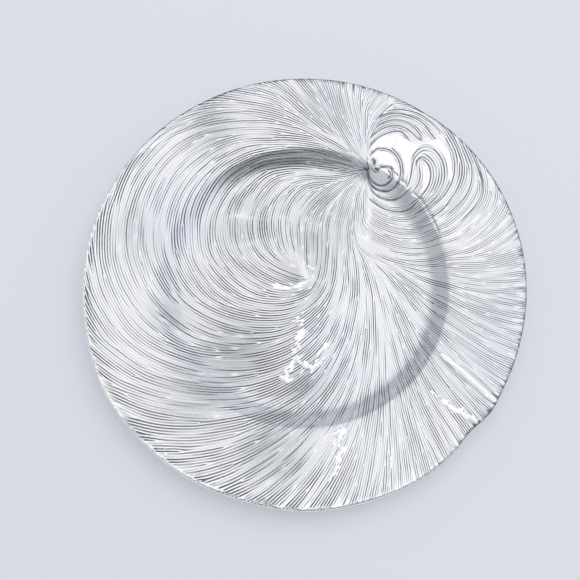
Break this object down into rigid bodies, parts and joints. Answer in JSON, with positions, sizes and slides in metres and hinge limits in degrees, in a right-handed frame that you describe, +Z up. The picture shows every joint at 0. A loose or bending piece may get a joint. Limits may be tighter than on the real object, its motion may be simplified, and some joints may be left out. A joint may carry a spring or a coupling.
{
  "type": "charger plate",
  "caption": "Round charger plate with a flat well, a low wall, a wide free-form rim and a foot ring, in pressed glass with bright silver plating.",
  "frame": {"origin": "centre of the foot ring's contact face, under the middle of the rim's outline", "axes": "+Z up, out of the well; +Y towards the top of the picture and +X to its right"},
  "size_m": [0.329, 0.3308, 0.0218],
  "materials": {
    "glass": "clear pressed glass, fire-polished",
    "silver": "mirror-bright over fine combed swirling ridges",
    "back_coat": "sprayed silver-grey lacquer, satin"
  },
  "bodies": {
    "root": {"glass_body": "glass", "silver_plating": "silver", "back_coat": "back_coat"}
  },
  "joints": []
}
